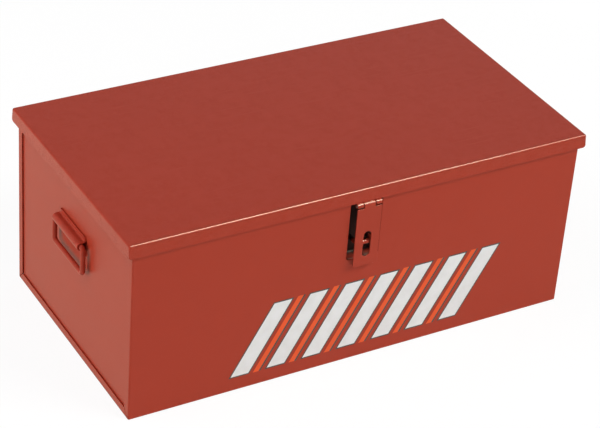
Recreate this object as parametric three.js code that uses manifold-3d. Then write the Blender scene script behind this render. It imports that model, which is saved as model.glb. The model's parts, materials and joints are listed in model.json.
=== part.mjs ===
// Portable steel storage chest for a building site, in millimetres, +Z up.
// The origin is the centre of the underside. X runs along the front, -Y is the front, the lid hinges at the back.
// Everything is folded sheet: a wrapped body with two inset end pans, a lid pan on a full-length hinge,
// a slotted hasp strap over a lock recess, and a drop handle on each end.

import * as THREE from "three";
import { mergeVertices } from "three/addons/utils/BufferGeometryUtils.js";
import Module from "manifold-3d";

const wasm = await Module();
wasm.setup();

// Overall sizes
const lidLength = 762;
const lidDepth = 406.4;
const overallHeight = 304.8;

// Sheet, bends and fits
const sheet = 1.5;
const bend = 2.5; // outside radius of every folded edge
const seat = 0.3; // clearance where one piece rests on another
const overrun = 5; // how far a cut runs past the face that it opens

// Lid pan
const lidFlange = 22;
const lidCornerRadius = 4.5;
const endOverhang = 8.2;
const frontOverhang = 5;

// Hat channel under the lid
const channelWidth = 36;
const channelDepth = 12;
const channelBrim = 14;
const channelEndGap = 3; // short of the flanges of the end pans

// Body wrap
const returnWidth = 14; // flange that each end of the wrap turns across the end
const mouthFlange = 15; // flange that the front and back turn inwards round the mouth
const mitreSlit = 1;

// End pans
const endRecess = 2.2; // how far the end face stands behind the return flanges
const panFlange = 15;

// Lid hinge
const hingeLength = 690;
const hingeLeaf = 2;
const hingeLeafWidth = 30;
const hingeBarrelRadius = 3.75;
const hingePinRadius = 1.8;
const hingePinProud = 1.5;
const hingeKnuckles = 15;
const knuckleGap = 0.6; // between one knuckle and the next
const knuckleNotch = 0.7; // between a knuckle and the other leaf

// Hasp
const strapWidth = 41;
const strapDrop = 104; // from the hasp pin down to the end of the strap
const strapPlate = 2;
const strapCorner = 4;
const slotWidth = 12.7;
const slotHeight = 43;
const slotFoot = 15.5; // metal left below the slot
const haspBarrelRadius = 4;
const haspPinRadius = 2;
const haspPinProud = 0.8;
const haspLeafWidth = 20;
const haspCentreShare = 0.47; // share of the strap's width that its one knuckle takes

// Lock recess behind the strap
const recessSideMargin = 6.5;
const recessFootLap = 9; // how far the strap hangs below the recess
const recessTopRise = 6; // how far the recess reaches above the lid's flange edge
const recessDepth = 20;
const recessCorner = 3;
const recessRim = 8;

// Staple in the recess
const stapleRod = 7;
const stapleWidth = 34; // over the rod
const stapleBend = 6; // inside radius
const stapleGap = 1; // behind the strap

// Drop handles
const handleAxisHeight = 206.5;
const bracketWidth = 88;
const bracketPlate = 2.5;
const bracketAbove = 14; // plate above the pivot
const bracketBelow = 20.5; // plate below the pivot
const bracketCorner = 3;
const bracketRoot = 2; // radius where the tunnel leaves the plate
const tunnelClear = 0.5;
const bailRod = 8;
const bailStandOff = 8; // pivot to the end face
const bailDrop = 44; // pivot to the middle of the grip
const bailSideGap = 1.5;
const bailBend = 6; // radius of the rod's middle line
const bailEndGap = 4; // between the rod's two ends inside the tunnel

// Facets
const mergeWithin = 1e-4;
const bendSteps = 4;
const knuckleSides = 16;
const pinSides = 16;
const arcSides = 24;
const roundSteps = 6;
const rodSides = 10;

// Worked out from the sizes above
const rearOverhang = seat + hingeLeaf + seat + sheet;
const bodyLength = lidLength - 2 * endOverhang;
const bodyDepth = lidDepth - frontOverhang - rearOverhang;
const bodyHeight = overallHeight - sheet - seat;
const endX = bodyLength / 2;
const frontY = -bodyDepth / 2;
const backY = bodyDepth / 2;
const flangeEdgeZ = overallHeight - lidFlange;

const hingeY = backY + seat + hingeBarrelRadius;
const hingeZ = flangeEdgeZ - seat - hingeBarrelRadius;

const haspPinZ = flangeEdgeZ - seat - haspBarrelRadius;
const haspLeafY = frontY - frontOverhang + sheet + seat; // outer face of the leaf inside the flange
const haspPinY = haspLeafY + strapPlate - haspBarrelRadius;
const strapFrontY = haspPinY - haspBarrelRadius;
const strapBackY = strapFrontY + strapPlate;
const strapFootZ = haspPinZ - strapDrop;
const slotLowZ = strapFootZ + slotFoot;
const slotHighZ = slotLowZ + slotHeight;

const recessHalf = strapWidth / 2 + recessSideMargin;
const recessLowZ = strapFootZ + recessFootLap;
const recessHighZ = flangeEdgeZ + recessTopRise;
const recessBackY = frontY + recessDepth;

const red = { color: 0x9c4236, roughness: 0.42, metalness: 0.15 };
const bright = { color: 0xa7a59f, roughness: 0.35, metalness: 0.9 };

const axisX = new THREE.Vector3(1, 0, 0);
const axisY = new THREE.Vector3(0, 1, 0);
const axisZ = new THREE.Vector3(0, 0, 1);
const ontoX = new THREE.Matrix4().makeBasis(axisY, axisZ, axisX);
const ontoY = new THREE.Matrix4().makeBasis(axisX, axisZ, axisY.clone().negate());

// A closed geometry as a solid that can be joined and cut.
function solid(geometry) {
  const bare = geometry.clone();
  bare.deleteAttribute("normal");
  bare.deleteAttribute("uv");
  const merged = mergeVertices(bare, mergeWithin);
  const corners = merged.index.array;
  const kept = [];
  for (let i = 0; i < corners.length; i += 3) {
    const [a, b, c] = corners.slice(i, i + 3);
    if (a !== b && b !== c && c !== a) kept.push(a, b, c);
  }
  return new wasm.Manifold(
    new wasm.Mesh({
      numProp: 3,
      vertProperties: merged.attributes.position.array,
      triVerts: new Uint32Array(kept),
    }),
  );
}

// A solid back as a geometry with flat faces.
function geometryOf(manifold) {
  const mesh = manifold.getMesh();
  const geometry = new THREE.BufferGeometry();
  geometry.setAttribute("position", new THREE.BufferAttribute(mesh.vertProperties, 3));
  geometry.setIndex(new THREE.BufferAttribute(mesh.triVerts, 1));
  const flat = geometry.toNonIndexed();
  flat.computeVertexNormals();
  return flat;
}

function piece(name, manifold, look = red) {
  const mesh = new THREE.Mesh(geometryOf(manifold), new THREE.MeshStandardMaterial(look));
  mesh.name = name;
  return mesh;
}

// A block between two corners, given in either order.
function block(x0, x1, y0, y1, z0, z1) {
  const geometry = new THREE.BoxGeometry(Math.abs(x1 - x0), Math.abs(y1 - y0), Math.abs(z1 - z0));
  return solid(geometry.translate((x0 + x1) / 2, (y0 + y1) / 2, (z0 + z1) / 2));
}

function extruded(shape, length, steps) {
  return new THREE.ExtrudeGeometry(shape, { depth: length, bevelEnabled: false, curveSegments: steps });
}

// An outline in (y, z) carried from x0 to x1.
function prismX(shape, x0, x1, steps = bendSteps) {
  return solid(extruded(shape, x1 - x0, steps).applyMatrix4(ontoX).translate(x0, 0, 0));
}

// An outline in (x, z) carried from y0 to y1.
function prismY(shape, y0, y1, steps = bendSteps) {
  return solid(extruded(shape, y1 - y0, steps).applyMatrix4(ontoY).translate(0, y1, 0));
}

// An outline in (x, y) carried from z0 to z1.
function prismZ(shape, z0, z1, steps = bendSteps) {
  return solid(extruded(shape, z1 - z0, steps).translate(0, 0, z0));
}

function rodX(radius, x0, x1, y, z, sides) {
  const geometry = new THREE.CylinderGeometry(radius, radius, x1 - x0, sides);
  return solid(geometry.rotateZ(Math.PI / 2).translate((x0 + x1) / 2, y, z));
}

function rodY(radius, y0, y1, x, z, sides) {
  const geometry = new THREE.CylinderGeometry(radius, radius, y1 - y0, sides);
  return solid(geometry.translate(x, (y0 + y1) / 2, z));
}

function roundedRect(u0, u1, v0, v1, radius) {
  const shape = new THREE.Shape();
  shape.moveTo(u0 + radius, v0);
  shape.lineTo(u1 - radius, v0);
  shape.absarc(u1 - radius, v0 + radius, radius, -Math.PI / 2, 0);
  shape.lineTo(u1, v1 - radius);
  shape.absarc(u1 - radius, v1 - radius, radius, 0, Math.PI / 2);
  shape.lineTo(u0 + radius, v1);
  shape.absarc(u0 + radius, v1 - radius, radius, Math.PI / 2, Math.PI);
  shape.lineTo(u0, v0 + radius);
  shape.absarc(u0 + radius, v0 + radius, radius, Math.PI, Math.PI * 1.5);
  return shape;
}

// A box whose twelve edges all have the same radius, as folded sheet leaves them.
function foldedBox([x0, x1], [y0, y1], [z0, z1], radius) {
  const fromEnd = prismX(roundedRect(y0, y1, z0, z1, radius), x0, x1);
  const fromFront = prismY(roundedRect(x0, x1, z0, z1, radius), y0, y1);
  const fromTop = prismZ(roundedRect(x0, x1, y0, y1, radius), z0, z1);
  return fromEnd.intersect(fromFront).intersect(fromTop);
}

function widened([low, high], by) {
  return [low - by, high + by];
}

// The sheet that makes front, bottom and back, with its flanges round the ends and the mouth.
function bodyWrap() {
  const spanX = [-endX, endX];
  const spanY = [frontY, backY];
  const spanZ = [0, bodyHeight];
  const outside = foldedBox(spanX, spanY, spanZ, bend);
  const inside = foldedBox(widened(spanX, -sheet), widened(spanY, -sheet), widened(spanZ, -sheet), bend - sheet);
  const mouth = block(
    -endX + sheet,
    endX - sheet,
    frontY + mouthFlange,
    backY - mouthFlange,
    bodyHeight / 2,
    bodyHeight + overrun,
  );
  const throughEnds = block(
    -endX - overrun,
    endX + overrun,
    frontY + returnWidth,
    backY - returnWidth,
    returnWidth,
    bodyHeight + overrun,
  );
  const window = prismY(
    roundedRect(-recessHalf, recessHalf, recessLowZ, recessHighZ, recessCorner),
    frontY - overrun,
    frontY + sheet + overrun,
  );
  let wrap = outside.subtract(inside).subtract(mouth).subtract(throughEnds).subtract(window);
  for (const end of [-1, 1]) {
    for (const side of [-1, 1]) wrap = wrap.subtract(mitre(end, side));
  }
  return wrap;
}

// The slit at 45 degrees where two return flanges meet at a lower corner of an end.
function mitre(end, side) {
  const reach = (returnWidth - bend) * Math.SQRT2 + overrun;
  const geometry = new THREE.BoxGeometry(sheet + overrun, reach, mitreSlit);
  geometry.translate(0, reach / 2, 0).rotateX(Math.PI / 2 + (side * Math.PI) / 4);
  return solid(geometry.translate(end * (endX - sheet / 2), side * (backY - bend), bend));
}

// An end pan, drawn for the left end: its face, and four flanges that lie inside the wrap.
function endPan() {
  const faceX = -endX + endRecess;
  const spanY = widened([frontY, backY], -(sheet + seat));
  const spanZ = widened([0, bodyHeight], -(sheet + seat));
  const openX = faceX + panFlange + bend + overrun;
  const outside = foldedBox([faceX, openX], spanY, spanZ, bend);
  const inside = foldedBox([faceX + sheet, openX + overrun], widened(spanY, -sheet), widened(spanZ, -sheet), bend - sheet);
  const keep = block(faceX - overrun, faceX + panFlange, frontY, backY, 0, bodyHeight);
  return outside.subtract(inside).intersect(keep);
}

function lidPan() {
  const spanX = [-lidLength / 2, lidLength / 2];
  const spanY = [frontY - frontOverhang, backY + rearOverhang];
  const spanZ = [flangeEdgeZ - bend - overrun, overallHeight];
  const outside = foldedBox(spanX, spanY, spanZ, bend);
  const inside = foldedBox(widened(spanX, -sheet), widened(spanY, -sheet), widened(spanZ, -sheet), bend - sheet);
  const skirt = block(...widened(spanX, overrun), ...widened(spanY, overrun), spanZ[0] - overrun, flangeEdgeZ);
  let pan = outside.subtract(inside).subtract(skirt);
  for (const x of spanX) {
    for (const y of spanY) pan = pan.subtract(flangeCorner(x, y));
  }
  return pan;
}

// What is cut away where two lid flanges end at a corner, so that each flange has a rounded end.
function flangeCorner(x, y) {
  const r = lidCornerRadius;
  const outX = Math.sign(x);
  const outY = Math.sign(y);
  const lowZ = flangeEdgeZ - overrun;
  const highZ = flangeEdgeZ + r;
  const acrossFront = block(x - outX * r, x + outX * overrun, y - outY * bend, y + outY * overrun, lowZ, highZ);
  const acrossEnd = block(x - outX * bend, x + outX * overrun, y - outY * r, y + outY * overrun, lowZ, highZ);
  const frontArc = rodY(r, ...inOrder(y - outY * (bend + overrun), y + outY * 2 * overrun), x - outX * r, highZ, arcSides);
  const endArc = rodX(r, ...inOrder(x - outX * (bend + overrun), x + outX * 2 * overrun), y - outY * r, highZ, arcSides);
  return acrossFront.subtract(frontArc).add(acrossEnd.subtract(endArc));
}

function inOrder(a, b) {
  return [Math.min(a, b), Math.max(a, b)];
}

// The hat section that stiffens the lid, a brim on each side of an open channel.
function lidChannel() {
  const half = channelWidth / 2;
  const brim = half + channelBrim;
  const top = bodyHeight;
  const foot = top - channelDepth;
  const shape = new THREE.Shape();
  shape.moveTo(-brim, top);
  shape.lineTo(-brim, top - sheet);
  shape.lineTo(-half, top - sheet);
  shape.lineTo(-half, foot);
  shape.lineTo(half, foot);
  shape.lineTo(half, top - sheet);
  shape.lineTo(brim, top - sheet);
  shape.lineTo(brim, top);
  shape.lineTo(half - sheet, top);
  shape.lineTo(half - sheet, foot + sheet);
  shape.lineTo(sheet - half, foot + sheet);
  shape.lineTo(sheet - half, top);
  const reach = endX - endRecess - panFlange - channelEndGap;
  return prismX(shape, -reach, reach);
}

// One leaf of a hinge whose pin runs along X, with the knuckles that belong to it.
// rise is 1 for a leaf that stands above the pin and -1 for one that hangs below it.
function leafWithKnuckles({ spanX, spanY, pinY, pinZ, barrel, pin, rise, reach, knuckles }) {
  const stripZ = pinZ + rise * (barrel + knuckleNotch);
  let leaf = block(...spanX, ...spanY, stripZ, pinZ + rise * reach);
  for (const [x0, x1] of knuckles) {
    leaf = leaf.add(block(x0, x1, ...spanY, pinZ, stripZ));
    leaf = leaf.add(rodX(barrel, x0, x1, pinY, pinZ, knuckleSides));
  }
  return leaf.subtract(rodX(pin + seat, ...widened(spanX, overrun), pinY, pinZ, pinSides));
}

// The knuckles of one leaf of the lid hinge: every second one along its length.
function lidHingeKnuckles(first) {
  const pitch = hingeLength / hingeKnuckles;
  const spans = [];
  for (let i = first; i < hingeKnuckles; i += 2) {
    const start = -hingeLength / 2 + i * pitch;
    spans.push(widened([start, start + pitch], -knuckleGap / 2));
  }
  return spans;
}

function lidHingeLeaf(rise, reach, firstKnuckle) {
  return leafWithKnuckles({
    spanX: widened([-hingeLength / 2, hingeLength / 2], -knuckleGap / 2),
    spanY: [backY + seat, backY + seat + hingeLeaf],
    pinY: hingeY,
    pinZ: hingeZ,
    barrel: hingeBarrelRadius,
    pin: hingePinRadius,
    rise,
    reach,
    knuckles: lidHingeKnuckles(firstKnuckle),
  });
}

function lidHingePin() {
  const half = hingeLength / 2 + hingePinProud;
  return rodX(hingePinRadius, -half, half, hingeY, hingeZ, pinSides);
}

// The middle knuckle belongs to the strap, the outer two to the leaf inside the lid's flange.
function haspKnuckles() {
  const half = strapWidth / 2;
  const middle = (strapWidth * haspCentreShare) / 2;
  return {
    strap: [[-middle, middle]],
    leaf: [
      [-half, -middle - knuckleGap],
      [middle + knuckleGap, half],
    ],
  };
}

function haspLeaf() {
  return leafWithKnuckles({
    spanX: [-strapWidth / 2, strapWidth / 2],
    spanY: [haspLeafY, haspLeafY + strapPlate],
    pinY: haspPinY,
    pinZ: haspPinZ,
    barrel: haspBarrelRadius,
    pin: haspPinRadius,
    rise: 1,
    reach: haspLeafWidth,
    knuckles: haspKnuckles().leaf,
  });
}

function haspStrap() {
  const half = strapWidth / 2;
  const leaf = leafWithKnuckles({
    spanX: [-half, half],
    spanY: [strapFrontY, strapBackY],
    pinY: haspPinY,
    pinZ: haspPinZ,
    barrel: haspBarrelRadius,
    pin: haspPinRadius,
    rise: -1,
    reach: strapDrop,
    knuckles: haspKnuckles().strap,
  });
  const clearY = [strapFrontY - overrun, haspPinY + haspBarrelRadius + overrun];
  const outline = roundedRect(-half, half, strapFootZ, haspPinZ + haspBarrelRadius + strapCorner, strapCorner);
  const slot = upright(slotWidth / 2, slotLowZ, slotHighZ);
  return leaf.intersect(prismY(outline, ...clearY)).subtract(prismY(slot, ...clearY, roundSteps));
}

// An upright slot with round ends.
function upright(radius, lowZ, highZ) {
  const shape = new THREE.Shape();
  shape.absarc(0, highZ - radius, radius, 0, Math.PI);
  shape.absarc(0, lowZ + radius, radius, Math.PI, 2 * Math.PI);
  return shape;
}

function haspPin() {
  const half = strapWidth / 2 + haspPinProud;
  return rodX(haspPinRadius, -half, half, haspPinY, haspPinZ, pinSides);
}

// The drawn pocket behind the window in the front, with a rim that is welded inside the wrap.
function lockRecess() {
  const rimY = frontY + sheet + seat;
  const spanX = [-recessHalf, recessHalf];
  const spanZ = [recessLowZ, recessHighZ];
  const deep = recessCorner + sheet;
  const outside = foldedBox(widened(spanX, sheet), [rimY - deep, recessBackY + sheet], widened(spanZ, sheet), deep);
  const inside = foldedBox(spanX, [frontY - recessCorner - overrun, recessBackY], spanZ, recessCorner);
  const rimOutline = roundedRect(...widened(spanX, sheet + recessRim), ...widened(spanZ, sheet + recessRim), deep);
  const rim = prismY(rimOutline, rimY, rimY + sheet);
  const ahead = block(...widened(spanX, deep), rimY - deep - overrun, rimY, ...widened(spanZ, deep));
  return outside.subtract(ahead).add(rim).subtract(inside);
}

// A bent rod: its middle line runs from corner to corner and turns each one on the same radius.
class BentRod extends THREE.Curve {
  constructor(corners, radius) {
    super();
    this.stations = [corners[0]];
    for (let i = 1; i < corners.length - 1; i += 1) this.turn(corners[i - 1], corners[i], corners[i + 1], radius);
    this.stations.push(corners[corners.length - 1]);
  }

  // The stations round one square corner.
  turn(before, corner, after, radius) {
    const back = before.clone().sub(corner).normalize();
    const on = after.clone().sub(corner).normalize();
    const centre = corner.clone().addScaledVector(back, radius).addScaledVector(on, radius);
    for (let i = 0; i <= bendSteps; i += 1) {
      const angle = (i / bendSteps) * (Math.PI / 2);
      const point = centre.clone().addScaledVector(on, -radius * Math.cos(angle));
      this.stations.push(point.addScaledVector(back, -radius * Math.sin(angle)));
    }
  }

  getPoint(t) {
    const place = t * (this.stations.length - 1);
    const i = Math.min(Math.floor(place), this.stations.length - 2);
    return this.stations[i].clone().lerp(this.stations[i + 1], place - i);
  }

  getPointAt(u) {
    return this.getPoint(u);
  }

  getTangentAt(u) {
    return this.getTangent(u);
  }
}

function bentRod(corners, bendRadius, rodRadius) {
  const path = new BentRod(corners, bendRadius);
  const section = [];
  for (let i = 0; i < rodSides; i += 1) {
    const angle = (i / rodSides) * 2 * Math.PI;
    section.push(new THREE.Vector2(rodRadius * Math.cos(angle), rodRadius * Math.sin(angle)));
  }
  const steps = path.stations.length - 1;
  return solid(new THREE.ExtrudeGeometry(new THREE.Shape(section), { extrudePath: path, steps }));
}

// A U of rod, level with the middle of the slot, both legs on the back of the recess.
function staple() {
  const z = (slotLowZ + slotHighZ) / 2;
  const legX = (stapleWidth - stapleRod) / 2;
  const barY = strapBackY + stapleGap + stapleRod / 2;
  const footY = recessBackY - seat;
  const corners = [
    new THREE.Vector3(-legX, footY, z),
    new THREE.Vector3(-legX, barY, z),
    new THREE.Vector3(legX, barY, z),
    new THREE.Vector3(legX, footY, z),
  ];
  return bentRod(corners, stapleBend + stapleRod / 2, stapleRod / 2);
}

const endFaceX = -endX + endRecess;
const pivotX = endFaceX - bailStandOff;

// A handle bracket, drawn for the left end: a plate pressed out into a tunnel round the top rod of the handle.
function handleBracket() {
  const back = endFaceX - seat;
  const front = back - bracketPlate;
  const inner = bailRod / 2 + tunnelClear;
  const outer = inner + bracketPlate;
  const z = handleAxisHeight;
  const top = z + bracketAbove;
  const foot = z - bracketBelow;
  const rootX = front - bracketRoot;
  const rootZ = outer + bracketRoot;
  const shape = new THREE.Shape();
  shape.moveTo(back, top);
  shape.lineTo(front, top);
  shape.absarc(rootX, z + rootZ, bracketRoot, 0, -Math.PI / 2, true);
  shape.absarc(pivotX, z, outer, Math.PI / 2, (3 * Math.PI) / 2, false);
  shape.absarc(rootX, z - rootZ, bracketRoot, Math.PI / 2, 0, true);
  shape.lineTo(front, foot);
  shape.lineTo(back, foot);
  shape.lineTo(back, z - inner);
  shape.absarc(pivotX, z, inner, (3 * Math.PI) / 2, Math.PI / 2, true);
  shape.lineTo(back, z + inner);
  const half = bracketWidth / 2;
  const plate = prismY(shape, -half, half, roundSteps);
  const corners = roundedRect(-half, half, foot, top, bracketCorner);
  return plate.intersect(prismX(corners, pivotX - outer - overrun, back + overrun));
}

// A handle bail, drawn for the left end as it hangs: its two ends meet inside the tunnel.
function handleBail() {
  const half = bracketWidth / 2 + bailSideGap + bailRod / 2;
  const top = handleAxisHeight;
  const grip = top - bailDrop;
  const corners = [
    new THREE.Vector3(pivotX, -bailEndGap / 2, top),
    new THREE.Vector3(pivotX, -half, top),
    new THREE.Vector3(pivotX, -half, grip),
    new THREE.Vector3(pivotX, half, grip),
    new THREE.Vector3(pivotX, half, top),
    new THREE.Vector3(pivotX, bailEndGap / 2, top),
  ];
  return bentRod(corners, bailBend, bailRod / 2);
}

function body() {
  const group = new THREE.Group();
  group.add(piece("body_wrap", bodyWrap()));
  group.add(piece("lock_recess", lockRecess()));
  group.add(piece("lock_staple", staple()));
  group.add(piece("hinge_body_leaf", lidHingeLeaf(-1, hingeLeafWidth, 0)));
  group.add(piece("hinge_pin", lidHingePin(), bright));
  return group;
}

function lid() {
  const group = new THREE.Group();
  group.add(piece("lid_pan", lidPan()));
  group.add(piece("lid_channel", lidChannel()));
  group.add(piece("hinge_lid_leaf", lidHingeLeaf(1, overallHeight - sheet - bend - hingeZ, 1)));
  group.add(piece("hasp_leaf", haspLeaf()));
  group.add(piece("hasp_pin", haspPin(), bright));
  group.add(piece("hasp_strap", haspStrap()));
  return group;
}

// The right end is the left one turned half round.
function chestEnd(name, turn) {
  const group = new THREE.Group();
  group.add(piece(name + "_end_pan", endPan()));
  group.add(piece(name + "_handle_bracket", handleBracket()));
  group.add(piece(name + "_handle_bail", handleBail()));
  group.rotation.z = turn;
  return group;
}

const chest = new THREE.Group();
chest.name = "storage_chest";
chest.add(body());
chest.add(lid());
chest.add(chestEnd("left", 0));
chest.add(chestEnd("right", Math.PI));

export default chest;
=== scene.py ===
import json
from math import cos, pi, radians, sin, tan

import bmesh
import bpy
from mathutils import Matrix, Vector


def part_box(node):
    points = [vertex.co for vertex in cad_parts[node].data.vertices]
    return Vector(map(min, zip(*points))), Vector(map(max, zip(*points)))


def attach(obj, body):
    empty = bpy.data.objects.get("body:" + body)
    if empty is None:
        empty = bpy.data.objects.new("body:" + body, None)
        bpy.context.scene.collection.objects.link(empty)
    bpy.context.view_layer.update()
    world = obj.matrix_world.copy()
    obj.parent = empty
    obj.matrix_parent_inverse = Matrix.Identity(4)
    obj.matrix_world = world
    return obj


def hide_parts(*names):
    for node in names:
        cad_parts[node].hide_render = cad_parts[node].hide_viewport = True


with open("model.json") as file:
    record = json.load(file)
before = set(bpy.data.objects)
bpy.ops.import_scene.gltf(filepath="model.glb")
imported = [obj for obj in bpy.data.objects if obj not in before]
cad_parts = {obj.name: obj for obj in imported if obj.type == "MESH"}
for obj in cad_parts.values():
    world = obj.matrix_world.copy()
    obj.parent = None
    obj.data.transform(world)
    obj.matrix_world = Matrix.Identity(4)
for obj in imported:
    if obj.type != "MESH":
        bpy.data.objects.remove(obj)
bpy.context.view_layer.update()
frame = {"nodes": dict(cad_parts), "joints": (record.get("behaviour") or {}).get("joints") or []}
jointPlace = {joint["name"]: Vector(joint["pos_m"]) for joint in frame["joints"]}
print("frame loaded:", len(frame["nodes"]), "nodes")

# Everything is in metres. X runs along the front, -Y is the front, Z is up.
sheetMetal = {
    "gauge": 0.0015,
    "bend": 0.0025,        # outside radius of a folded edge
    "bendSegments": 6,
    "cutEdge": 0.00025,    # how far a sheared edge is eased
    "easeAngle": radians(50),   # edges that turn more than this are eased
    "foldAngle": radians(60),   # and those that turn more than this are folds
    "smoothAngle": radians(35),
    "mergeReach": 0.00001,
}


# Finishes

def addNode(tree, kind, **values):  # sets inputs by name where the node has them, settings otherwise
    node = tree.nodes.new("ShaderNode" + kind)
    for key, value in values.items():
        name = key.replace("_", " ")
        if name in node.inputs:
            node.inputs[name].default_value = value
        else:
            setattr(node, key, value)
    return node


def join(tree, *pairs):
    for source, target in pairs:
        tree.links.new(source, target)


def mathNode(tree, operation, first, second):
    node = addNode(tree, "Math", operation=operation)
    for socket, value in ((node.inputs[0], first), (node.inputs[1], second)):
        if isinstance(value, (int, float)):
            socket.default_value = value
        else:
            tree.links.new(value, socket)
    return node.outputs[0]


def rangeNode(tree, source, low, high, newLow, newHigh):
    node = addNode(tree, "MapRange", From_Min=low, From_Max=high, To_Min=newLow, To_Max=newHigh)
    tree.links.new(source, node.inputs["Value"])
    return node.outputs["Result"]


def spreadNode(tree, noise, low, high, noiseLow=0.3, noiseHigh=0.7):  # a noise seldom leaves its middle range
    return rangeNode(tree, noise, noiseLow, noiseHigh, low, high)


def noiseNode(tree, place, scale, detail=3, rough=0.5):
    node = addNode(tree, "TexNoise", Scale=scale, Detail=detail, Roughness=rough)
    tree.links.new(place, node.inputs["Vector"])
    return node.outputs["Fac"]


def stretchNode(tree, place, scale, turn=(0, 0, 0)):
    node = addNode(tree, "Mapping", Scale=scale, Rotation=turn)
    tree.links.new(place, node.inputs["Vector"])
    return node.outputs["Vector"]


def blendNode(tree, factor, first, second):  # a colour Mix takes its colours in sockets 6 and 7, and gives output 2
    node = addNode(tree, "Mix", data_type="RGBA")
    for socket, value in ((node.inputs[0], factor), (node.inputs[6], first), (node.inputs[7], second)):
        if isinstance(value, (int, float, tuple)):
            socket.default_value = value
        else:
            tree.links.new(value, socket)
    return node.outputs[2]


def newGroup(name, inputs, outputs):
    group = bpy.data.node_groups.new(name, "ShaderNodeTree")
    for socket, (kind, value) in inputs.items():
        made = group.interface.new_socket(socket, in_out="INPUT", socket_type="NodeSocket" + kind)
        if value is not None:
            made.default_value = value
    for socket, kind in outputs.items():
        group.interface.new_socket(socket, in_out="OUTPUT", socket_type="NodeSocket" + kind)
    return group, group.nodes.new("NodeGroupInput").outputs, group.nodes.new("NodeGroupOutput").inputs


def mixShares(tree, first, second, share):  # a share of the second value, and the rest of the first
    return mathNode(tree, "ADD", mathNode(tree, "MULTIPLY", first, 1 - share),
                    mathNode(tree, "MULTIPLY", second, share))


paintFlowLook = {
    "broad": 3.5, "cloud": 31, "peel": 330, "grain": 1500,   # how fine each noise is
    "cloudShare": 0.35,    # of the changes of tone, where the broad ones are the rest
    "toneFrom": 0.35, "toneTo": 0.65,
    "grainShare": 0.2,     # of the skin's height, where the peel is the rest
    "cloudRough": 0.015, "grainRough": 0.02,   # how far each moves the roughness, up and down
    "streakScale": (9, 210, 240), "streakTurn": (0.35, 0.2, 0.5), "streakFrom": 0.62, "streakTo": 0.72,
}


def makePaintFlow():  # slow changes of tone, the skin of sprayed paint, and faint rubbed streaks
    group, given, out = newGroup("paintFlow", {
        "Place": ("Vector", None), "Colour": ("Color", None), "Thin": ("Color", None),
        "Mottle": ("Float", 0.5), "Gloss": ("Float", 0.35), "Streaks": ("Float", 0.06),
    }, {"Colour": "Color", "Roughness": "Float", "Height": "Float"})
    look, place = paintFlowLook, given["Place"]
    broad = noiseNode(group, place, look["broad"], detail=2)
    cloud = noiseNode(group, place, look["cloud"], detail=4, rough=0.6)
    tone = mixShares(group, broad, cloud, look["cloudShare"])
    spread = rangeNode(group, tone, look["toneFrom"], look["toneTo"], 0, 1)
    peel = noiseNode(group, place, look["peel"], detail=2)
    grain = noiseNode(group, place, look["grain"], detail=1)
    streakPlace = stretchNode(group, place, look["streakScale"], look["streakTurn"])
    streak = rangeNode(group, noiseNode(group, streakPlace, 1), look["streakFrom"], look["streakTo"], 0, 1)
    rough = mathNode(group, "ADD", given["Gloss"], spreadNode(group, cloud, -look["cloudRough"], look["cloudRough"]))
    rough = mathNode(group, "ADD", rough, spreadNode(group, grain, -look["grainRough"], look["grainRough"]))
    rough = mathNode(group, "ADD", rough, mathNode(group, "MULTIPLY", streak, given["Streaks"]))
    height = mixShares(group, peel, grain, look["grainShare"])
    shift = mathNode(group, "MULTIPLY", spread, given["Mottle"])
    join(group, (blendNode(group, shift, given["Colour"], given["Thin"]), out["Colour"]),
         (rough, out["Roughness"]), (height, out["Height"]))
    return group


cutEdgeLook = {
    "samples": 4,
    "flat": 0.99, "edge": 0.8,   # how far the rounded normal agrees with the plain one, off an edge and on it
    "patches": 160, "patchFrom": 0.38, "patchTo": 0.62, "patchLeast": 0.25,
}


def makeCutEdge():  # a mask along folds and sheared edges, where paint draws thin and hands rub, and which also carries a painted highlight along the folds
    group, given, out = newGroup("cutEdge", {"Place": ("Vector", None), "Reach": ("Float", 0.001)},
                                 {"Mask": "Float"})
    look = cutEdgeLook
    rounded = addNode(group, "Bevel", samples=look["samples"])
    group.links.new(given["Reach"], rounded.inputs["Radius"])
    flat = addNode(group, "NewGeometry")
    meeting = addNode(group, "VectorMath", operation="DOT_PRODUCT")
    join(group, (rounded.outputs["Normal"], meeting.inputs[0]), (flat.outputs["Normal"], meeting.inputs[1]))
    turned = rangeNode(group, meeting.outputs["Value"], look["flat"], look["edge"], 0, 1)
    patches = noiseNode(group, given["Place"], look["patches"], detail=4, rough=0.65)
    patchy = rangeNode(group, patches, look["patchFrom"], look["patchTo"], look["patchLeast"], 1)
    join(group, (mathNode(group, "MULTIPLY", turned, patchy), out["Mask"]))
    return group


paintFlow = makePaintFlow()
cutEdge = makeCutEdge()


def newMaterial(name):
    material = bpy.data.materials.new(name)
    material.use_nodes = True
    tree = material.node_tree
    return material, tree, tree.nodes["Principled BSDF"], addNode(tree, "TexCoord").outputs["Object"]


def addGroup(tree, group, place, **values):
    node = addNode(tree, "Group")
    node.node_tree = group
    tree.links.new(place, node.inputs["Place"])
    for key, value in values.items():
        node.inputs[key].default_value = value
    return node.outputs


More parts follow.
